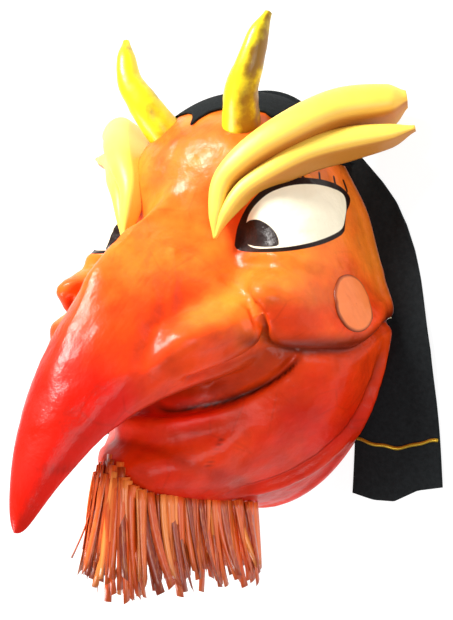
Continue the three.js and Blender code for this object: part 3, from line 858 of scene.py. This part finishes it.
def brow_shading(lobe, shares):
    """Painted shade: brown on the flat underside of a lobe, which faces down, and ochre that runs out above
    it.
    """
    across = brow_section(1.0)[:, 0]
    wall = np.arange(len(across)) >= BROW_ARC + BROW_WALL
    around = np.where(wall, 1.0, ease(-0.9, -0.99, across) * (np.arange(len(across)) < BROW_ARC))
    lower = 0.9 if lobe == "lower" else 0.5
    grime_and_shade = 0.8 * lower * around[None, :] * ease(0, 0.08, shares)[:, None]
    low = ease(-0.5, -0.98, across) * (np.arange(len(across)) < BROW_ARC)
    shade = np.maximum(low, around)[None, :] * np.ones((len(shares), 1)) * (0.5 if lobe == "upper" else 0.4)
    if lobe == "upper":
        # Painted shade along the upper lobe's lower edge, by the groove between the lobes.
        grime_and_shade = grime_and_shade + 0.4 * ease(-0.85, -1, across)[None, :] * ease(0.1, 0.4, shares)[:, None]
    outer = ease(0.05, 0.45, shares)[:, None]
    return np.clip(grime_and_shade * outer, 0, 1), shade * outer


def make_horns():
    rings, shares = sweep(HORN_PATH, HORN_HALVES, 60, round_section(40), [0, 0, -1])
    middle = rings.mean(1, keepdims=True)
    lumps = 1 + 0.035 * wave_noise(rings, 30, 11)
    rings = middle + (rings - middle) * lumps[..., None]
    base = rings[0].mean(0)
    tip = rings[-1].mean(0) + HORN_TIP * unit(rings[-1].mean(0) - rings[-2].mean(0))
    material = horn_paint()
    for side, flip in (("right", False), ("left", True)):
        form = mirrored(rings)[:, ::-1] if flip else rings
        ends = [mirrored(p) if flip else p for p in (base, tip)]
        horn = closed_rings(f"horn_{side}_form", form, material, ends)
        outward = unit(form - form.mean(1, keepdims=True))
        # Darker at the root, and painted shade on the side that faces the viewer's right, away from the
        # light.
        at_root = 0.5 * ease(0.45, 0.05, shares)[:, None]
        grime_and_shade = at_root + HORN_SIDE_SHADE[side] * ease(-0.1, 0.8, outward[..., 0])
        paint_on(horn, "grime_and_shade", np.append(grime_and_shade, [0.7, 0]))
        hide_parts(f"horn_{side}")


def make_brows():
    material = brow_paint()
    lobes = {"upper": (BROW_UPPER, BROW_UPPER_HALF), "lower": (BROW_LOWER, BROW_LOWER_HALF)}
    for lobe, (knots, halves) in lobes.items():
        rings, shares = sweep(knots, halves, 70, brow_section, BROW_BACK_WAY)
        starts = [rings[0].mean(0), rings[-1].mean(0)]
        for side, flip in (("right", False), ("left", True)):
            form = mirrored(rings)[:, ::-1] if flip else rings
            ends = [mirrored(p) if flip else p for p in starts]
            brow = closed_rings(f"eyebrow_{side}_{lobe}", form, material, ends)
            grime_and_shade, shade = brow_shading(lobe, shares)
            paint_on(brow, "grime_and_shade", np.append(grime_and_shade, [0, grime_and_shade[-1].mean()]))
            paint_on(brow, "shade", np.append(shade, [0, 0]))
            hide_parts(f"eyebrow_{side}")


# Cheek discs: thin round patches that follow the cheek's flank
DISC_PLACE = np.array([119.0, -8.0, 50.0])
DISC_TURN = math.radians(-16)
DISC_RADIUS = 20.5
DISC_THICKNESS = 1.6
DISC_EDGE = 1.2  # how far the edge is rounded
DISC_RINGS = 14
DISC_SECTORS = 72


def make_discs(face):
    way = Vector((math.cos(DISC_TURN), 0, -math.sin(DISC_TURN)))
    across = np.array([-way.z, 0, way.x])
    tree = BVHTree.FromObject(face, bpy.context.evaluated_depsgraph_get())
    turns = np.linspace(0, 2 * math.pi, DISC_SECTORS, endpoint=False)
    flat = np.linspace(1.5, DISC_RADIUS - DISC_EDGE, DISC_RINGS)
    radii = np.append(flat, DISC_RADIUS - DISC_EDGE * np.array([0.4, 0.1, 0]))
    lifts = np.append(np.ones(DISC_RINGS), [0.88, 0.5, -0.3])
    points = []
    for radius, lift in zip(radii, lifts):
        for turn in turns:
            start = DISC_PLACE + radius * (math.cos(turn) * across + math.sin(turn) * np.array([0, 1, 0]))
            start = Vector(to_row(start)) + 0.1 * way
            hit, normal = tree.ray_cast(start, -way)[:2]
            points.append((hit + normal * lift * DISC_THICKNESS * MM) / MM)
    points = np.array(points) - [0, FACE_SHIFT, 0]
    count = len(turns)
    points = np.concatenate([points, [points[:count].mean(0)]])
    faces = fan_faces(0, count, len(points) - 1) + ring_faces(len(radii), count)
    # Darker along the rim of each disc.
    edge = np.append(np.repeat(ease(DISC_RADIUS - 2.2, DISC_RADIUS - 0.6, radii), count), 0)
    material = disc_paint()
    for side, flip in (("right", False), ("left", True)):
        form = mirrored(points) if flip else points
        order = [face[::-1] for face in faces] if flip else faces
        disc = mesh_object(f"cheek_disc_{side}_patch", form, order, [material])
        paint_on(disc, "grime_and_shade", edge)
        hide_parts(f"cheek_disc_{side}")


# Veil: one piece of black felt. It covers the crown behind a peaked front edge and lies down each side of
# the face.
PEAK_EDGE = [
    (0, 127), (3, 133), (9, 138), (17, 140), (33, 140),
    (49, 136), (57, 130), (70, 118), (82, 104), (89, 97),
]
TAIL_OUTER = [
    (84, 124), (98, 108), (122, 82), (134, 66), (143, 49),
    (149, 31), (154, 9), (164, -43), (168, -79), (174, -142),
]
TAIL_HEM = [(98, -158), (118, -160), (136, -158), (155, -147), (174, -142)]
TAIL_FREE = (99, -118)  # where the tail's inner edge leaves the rim
TAIL_TURN = -0.7  # the turn of the rim there
CROWN_LIP = 4.0  # how far the cloth runs out past the rim over the crown
VEIL_ROWS = 40
STRAIGHT_TURN = 1.0  # below this turn the columns run straight across the tail,
COLUMN_STEP = 1.0  # and they are at least this far apart
VEIL_NOSE_RINGS = 20
VEIL_FACE_RINGS = 160
CLOTH_HEIGHT = 1.1  # the middle of the cloth above the floor, where it lies flat
CROWN_TURN = 1.2  # above this turn the cloth comes down to the rim along its normal
TAIL_COLUMNS = 30
HEM_POINTS = 24
HEM_TO_TRIM = 44.0
TRIM_ENDS = (101, 170)
TRIM_WIDTH = 2.6
TRIM_THICKNESS = 0.6


def along_line(points, share):
    """A place along a polyline, as a share of its length."""
    points = np.asarray(points, float)
    steps = np.linalg.norm(np.diff(points, axis=0), axis=1)
    total = np.concatenate([[0], np.cumsum(steps)])
    at = np.asarray(share) * total[-1]
    return np.stack([np.interp(at, total, points[:, k]) for k in range(points.shape[1])], -1)


def behind_peak(x, y):
    """How far a place is behind the veil's front edge. Past the edge's end it never is."""
    edge = np.array(PEAK_EDGE, float)
    return y - np.interp(x, edge[:, 0], edge[:, 1]) - np.where(x > edge[-1, 0], 2 * (x - edge[-1, 0]), 0)


def floor_height(x, y):
    """The gentle waves of the cloth that lies on the floor."""
    free = ease(2, 22, np.abs(x) - np.interp(-y, [20, 118], [126, 92]))
    wave = 1 + np.sin(0.055 * y + 0.02 * np.abs(x) + 0.8) * np.sin(0.045 * np.abs(x) + 1.1)
    return CLOTH_HEIGHT + 2.0 * wave * free


def veil_columns():
    """Lines across the cloth from its front or inner edge to its outer edge, from the middle of the crown
    to the right-hand hem. The last ones cross the tail below the rim."""
    fine = np.concatenate([np.linspace(TAIL_TURN, 1.42, 130), np.linspace(1.42, math.pi / 2, 26)[1:]])
    beyond = np.concatenate([[2 * fine[0] - fine[1]], fine, [2 * fine[-1] - fine[-2]]])
    surface, normals, _ = face_surface(beyond, VEIL_NOSE_RINGS, VEIL_FACE_RINGS)
    surface, normals, fine = surface[:, -2:0:-1], normals[:, -2:0:-1], fine[::-1]
    columns = []
    outer_y = np.array(TAIL_OUTER, float)[::-1]
    last_y = CROWN_Y
    for j, turn in enumerate(fine):
        skin = surface[VEIL_NOSE_RINGS:, j]
        line = skin + normals[VEIL_NOSE_RINGS:, j] * (GAP + CLOTH_THICKNESS / 2)
        depth = behind_peak(line[:, 0], line[:, 1])
        rim_x, rim_y = surface[-1, j, :2]
        if turn < STRAIGHT_TURN and last_y - rim_y < COLUMN_STEP:
            continue
        last_y = rim_y
        covered = np.where(depth > 0)[0]
        wall = line[:0]
        if len(covered) and rim_y > PEAK_EDGE[-1][1] + 1:
            first = covered[0]
            share = depth[first] / max(depth[first] - depth[first - 1], 1e-6)
            start = line[first] + (line[first - 1] - line[first]) * share
            wall = np.concatenate([[start], line[first:]])
            wall = wall[wall[:, 2] > 4]
        inner = surface[-1, j] + (GAP + 0.5) * normals[-1, j]
        if turn < CROWN_TURN:
            inner = np.array([rim_x + GAP + 0.5, rim_y, 0])
        inner[2] = CLOTH_HEIGHT
        outward = unit(np.array([math.cos(turn), math.sin(turn) * 1.3, 0]))
        lip = inner + CROWN_LIP * outward
        outer_x = np.interp(rim_y, outer_y[:, 1], outer_y[:, 0])
        beside = np.array([max(outer_x, inner[0] + 1), rim_y, CLOTH_HEIGHT])
        share = ease(1.25, 1.02, turn)
        outer = lip + (beside - lip) * share
        columns.append(np.concatenate([wall, [inner, outer]]))
    hem = along_line(TAIL_HEM, np.linspace(0, 1, HEM_POINTS))
    for share in np.linspace(0, 1, TAIL_COLUMNS)[1:]:
        inner_x = TAIL_FREE[0] + 0.8 - 1.8 * share
        outer_at = last_y + (TAIL_OUTER[-1][1] - last_y) * share
        outer_x = np.interp(outer_at, outer_y[:, 1], outer_y[:, 0])
        across = (hem[:, 0] - hem[0, 0]) / (hem[-1, 0] - hem[0, 0])
        x = inner_x + (outer_x - inner_x) * across
        y = last_y + (hem[:, 1] - last_y) * share
        columns.append(np.stack([x, y, np.full(len(x), CLOTH_HEIGHT)], -1))
    return columns


def make_veil():
    columns = [along_line(column, np.linspace(0, 1, VEIL_ROWS)) for column in veil_columns()]
    right = np.array(columns)
    on_floor = ease(6, 1.2, right[..., 2])
    lifted = floor_height(right[..., 0], right[..., 1])
    right[..., 2] += (lifted - CLOTH_HEIGHT) * on_floor
    left = mirrored(right[1:])[::-1]
    sheet = np.concatenate([left, right])
    faces = []
    for i in range(len(sheet) - 1):
        for j in range(VEIL_ROWS - 1):
            a = i * VEIL_ROWS + j
            faces.append((a, a + 1, a + VEIL_ROWS + 1, a + VEIL_ROWS))
    veil = mesh_object("veil_cloth", sheet.reshape(-1, 3), faces, [felt()])
    thicken(veil, CLOTH_THICKNESS)
    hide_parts("veil")
    make_trims()


def make_trims():
    """The braid that is glued across each tail."""
    trims = []
    material = braid()
    low = min(y for _, y in TAIL_HEM) + HEM_TO_TRIM
    shares = np.linspace(0, 1, 60)
    x = TRIM_ENDS[0] + (TRIM_ENDS[1] - TRIM_ENDS[0]) * shares
    sag = 3 * np.sin(math.pi * np.minimum(shares / 0.9, 1))
    y = low - sag + 6 * ease(0.5, 1, shares) + 0.5 * np.sin(21 * shares)
    for side, sign in (("right", 1), ("left", -1)):
        points = []
        for offset, rise in ((0, 0), (0, 1), (1, 1), (1, 0)):
            above = floor_height(x, y) + CLOTH_THICKNESS / 2 + rise * TRIM_THICKNESS + 0.05
            points.append(np.stack([sign * x, y + offset * TRIM_WIDTH, above], -1))
        rings = np.stack(points, 1)
        if sign < 0:
            rings = rings[:, ::-1]
        ends = [rings[0].mean(0), rings[-1].mean(0)]
        trim = closed_rings(f"veil_trim_{side}_braid", rings, material, ends)
        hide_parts(f"veil_trim_{side}")
        trims.append(trim)
    return trims


def thicken(made, thickness):
    solid = made.modifiers.new("thickness", "SOLIDIFY")
    solid.thickness = thickness * MM
    solid.offset = 0


# Beard: overlapping straw ribbons on the underside of the chin
BEARD_SPAN = math.radians(18)
STRAW_LENGTH = 78.0
STRAW_COUNT = 190
STRAW_STEPS = 9
STRAW_DROOP = 6.0
STRAW_LAYERS = 3
STRAW_RISE = 0.03  # how much higher on the chin each layer starts
STRAW_THICKNESS = 0.4
BEARD_MIDDLE = 0.71  # where the roots are, as shares of the way to the rim, at the middle and at the ends
BEARD_END = 0.965


def beard_root(share, higher=0.0):
    """Where a straw leaves the chin, from the left end at -1 to the right one at 1."""
    turn = np.array([-math.pi / 2 + share * BEARD_SPAN])
    out = BEARD_MIDDLE + (BEARD_END - BEARD_MIDDLE) * share * share - higher
    return face_point(turn, out)[0]


def even_shares(count):
    """Shares that space the straws evenly along the line of their roots."""
    shares = np.linspace(-1, 1, 201)
    roots = np.array([beard_root(share) for share in shares])
    total = np.concatenate([[0], np.cumsum(np.linalg.norm(np.diff(roots, axis=0), axis=1))])
    return np.interp((np.arange(count) + 0.5) / count, total / total[-1], shares)


def make_beard():
    rng = np.random.default_rng(27)
    points = []
    faces = []
    tints = []
    runs = []
    shares = even_shares(STRAW_COUNT)
    for i in range(STRAW_COUNT):
        layer = i % STRAW_LAYERS
        share = float(np.clip(shares[i] + rng.normal(0, 0.012), -1, 1))
        root = beard_root(share, STRAW_RISE * (layer + rng.uniform(0, 1)) * (1 - 0.7 * share * share))
        sideways = 0.12 * share + rng.normal(0, 0.06)
        forward = 0.22 * (1 - share * share) + rng.normal(0, 0.035)
        way = unit(np.array([sideways, -1, forward]))
        side = beard_root(min(share + 0.02, 1)) - beard_root(max(share - 0.02, -1))
        side = unit(side - way * (side @ way))
        front = np.cross(way, side)
        shorter = (0.36 if share < 0 else 0.28) * share * share
        length = STRAW_LENGTH * rng.uniform(0.82, 1.12) * (1 - shorter)
        half = rng.uniform(2.5, 4.1)
        twist = rng.normal(0, 0.45)
        bend = rng.normal(0, 5.5)
        curl = rng.normal(0, 4.0)
        slant = rng.normal(0, 1.5)
        start = root + front * (layer * 0.8 + 0.4)
        first = len(points)
        for step in range(STRAW_STEPS):
            run = step / (STRAW_STEPS - 1)
            centre = start + way * run * length + (front * bend + side * curl) * run**2
            centre[2] -= STRAW_DROOP * run * run
            angle = twist * run
            width_way = math.cos(angle) * side + math.sin(angle) * front
            cup_way = math.cos(angle) * front - math.sin(angle) * side
            taper = half * (1 - 0.25 * run)
            for k in (-1, 0, 1):
                cut = k * slant if step == STRAW_STEPS - 1 else 0
                points.append(centre + width_way * k * taper + cup_way * 0.7 * (1 - abs(k)) + way * cut)
        for step in range(STRAW_STEPS - 1):
            for k in range(2):
                a = first + 3 * step + k
                faces.append((a, a + 1, a + 4, a + 3))
        tints += [float(rng.beta(1.6, 1.9))] * (3 * STRAW_STEPS)
        runs += np.repeat(np.linspace(0, 1, STRAW_STEPS), 3).tolist()
    beard = mesh_object("straw_beard_ribbons", np.array(points), faces, [straw_bast()])
    paint_on(beard, "tint", tints)
    # Darker towards the tips.
    paint_on(beard, "grime_and_shade", 0.45 * ease(0.7, 1.0, np.array(runs)))
    thicken(beard, STRAW_THICKNESS)
    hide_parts("straw_beard")


# Camera, light and floor
CAMERA_YAW = 39.51
CAMERA_PITCH = 1.3
CAMERA_ROLL = 0.26
CAMERA_DISTANCE = 749.0
CAMERA_TARGET = np.array([0.0, 0.0, 60.0])
FRAME_SIZE = (453, 620)
FOCAL_PIXELS = 942.9
PRINCIPAL_SHIFT = (-17.4, -21.0)  # pixels, right and down from the middle of the picture


def make_camera():
    yaw, pitch, roll = (math.radians(a) for a in (CAMERA_YAW, CAMERA_PITCH, CAMERA_ROLL))
    back = Vector((math.sin(yaw) * math.cos(pitch), math.sin(pitch), math.cos(yaw) * math.cos(pitch)))
    right = Vector((0, 1, 0)).cross(back).normalized()
    up = back.cross(right)
    rolled_right = math.cos(roll) * right + math.sin(roll) * up
    rolled_up = math.cos(roll) * up - math.sin(roll) * right
    data = bpy.data.cameras.new("camera")
    long_side = max(FRAME_SIZE)
    data.sensor_width = 36
    data.lens = FOCAL_PIXELS * data.sensor_width / long_side
    data.shift_x = -PRINCIPAL_SHIFT[0] / long_side
    data.shift_y = PRINCIPAL_SHIFT[1] / long_side
    camera = bpy.data.objects.new("camera", data)
    place = to_row(CAMERA_TARGET + CAMERA_DISTANCE * np.array(back))
    turn = Matrix((rolled_right, rolled_up, back)).transposed().to_4x4()
    camera.matrix_world = Matrix.Translation(Vector(place)) @ turn
    bpy.context.scene.collection.objects.link(camera)
    bpy.context.scene.camera = camera


# name, place and target in metres, size, watts and colour
LIGHTS = [
    ("key", (-0.55, 1.2, 1.15), (0, 0, 0.08), 0.6, 46, (1, 0.97, 0.93)),
    ("glint", (-0.7, 1.0, 1.2), (0, 0, 0.12), 0.16, 11, (1, 0.98, 0.95)),
    ("fill", (-0.9, -1.0, 1.1), (0, 0, 0.08), 0.8, 22, (1, 1, 1)),
    ("side", (1.3, -0.1, 0.9), (0, 0, 0.08), 1.0, 10, (1, 1, 1)),
]
FLOOR_SIZE = 12
FLOOR_BRIGHT = 0.45  # the floor glows out to here, in metres, and then fades
FLOOR_FADED = 1.1
SKY_STRENGTH = 0.35


def area_light(name, place, target, size, watts, color):
    data = bpy.data.lights.new(name, "AREA")
    data.shape = "DISK"
    data.size = size
    data.energy = watts
    data.color = color
    light = bpy.data.objects.new(name, data)
    light.location = place
    light.rotation_mode = "QUATERNION"
    light.rotation_quaternion = (Vector(place) - Vector(target)).to_track_quat("Z", "Y")
    bpy.context.scene.collection.objects.link(light)


def make_studio():
    bpy.ops.mesh.primitive_plane_add(size=FLOOR_SIZE, location=(0, 0, 0))
    floor = bpy.context.object
    floor.name = "floor"
    paint = Paint("floor_paint", 0.9)
    paint.shader.inputs["Emission Color"].default_value = (1, 1, 1, 1)
    # The floor glows, brightest round the mask and fading outwards, so it lights the mask from below and
    # pales its shadow.
    spread = paint.node("ShaderNodeVectorMath", operation="LENGTH")
    paint.feed(spread.inputs[0], paint.place)
    glow = paint.between(FLOOR_FADED, FLOOR_BRIGHT, spread.outputs["Value"])
    glow = paint.count("MULTIPLY", glow, 0.5)
    paint.feed(paint.shader.inputs["Emission Strength"], paint.count("ADD", glow, 0.35))
    floor.data.materials.append(paint.finish("868686"))
    world = bpy.data.worlds.new("studio")
    world.use_nodes = True
    sky = world.node_tree.nodes["Background"]
    sky.inputs["Color"].default_value = (1, 1, 1, 1)
    sky.inputs["Strength"].default_value = SKY_STRENGTH
    bpy.context.scene.world = world
    for light in LIGHTS:
        area_light(*light)
    bpy.context.scene.view_settings.view_transform = "Standard"


make_camera()
make_studio()
face = make_face()
make_horns()
make_brows()
make_discs(face)
make_veil()
make_beard()
